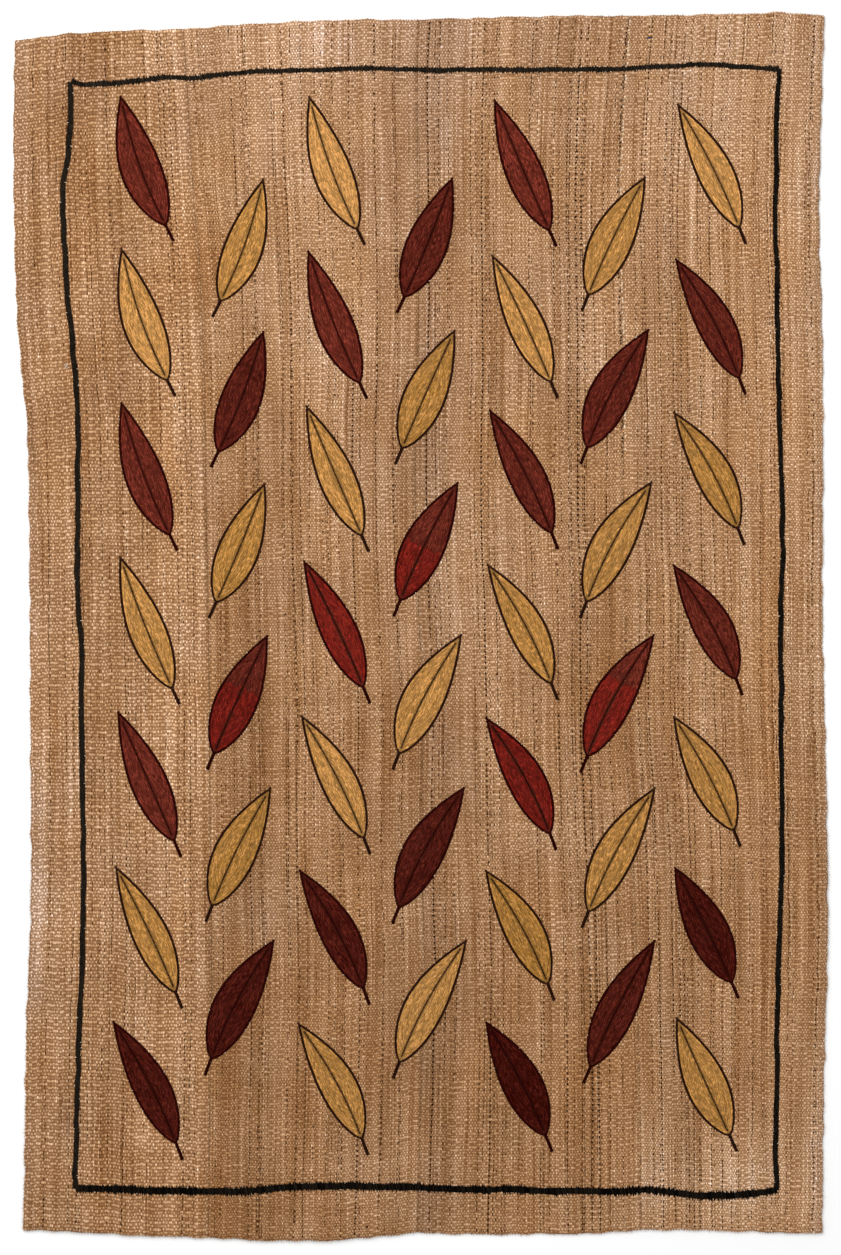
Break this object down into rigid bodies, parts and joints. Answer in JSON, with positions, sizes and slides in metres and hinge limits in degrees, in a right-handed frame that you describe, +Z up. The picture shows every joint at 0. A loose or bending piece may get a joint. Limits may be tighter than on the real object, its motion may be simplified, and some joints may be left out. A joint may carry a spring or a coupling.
{
  "type": "flatweave rug",
  "caption": "Flat handwoven wool rug of strips sewn selvedge to selvedge, with a slightly uneven outline, a thin stitched border line and stitched leaves in low relief on its face.",
  "frame": {"origin": "under the rug's centre, on the surface that it lies on", "axes": "+X across the rug from selvedge to selvedge, +Y along its length, +Z up out of its face"},
  "size_m": [1.7159, 2.5889, 0.0046],
  "materials": {
    "cloth": "undyed tan and brown wool, plain weave",
    "red_wool": "dark red wool chain stitch",
    "gold_wool": "gold wool chain stitch",
    "brown_wool": "dark brown wool chain stitch",
    "black_wool": "black wool chain stitch"
  },
  "bodies": {
    "root": {"strip_left": "cloth", "strip_mid_left": "cloth", "strip_mid_right": "cloth", "strip_right": "cloth"}
  },
  "joints": []
}
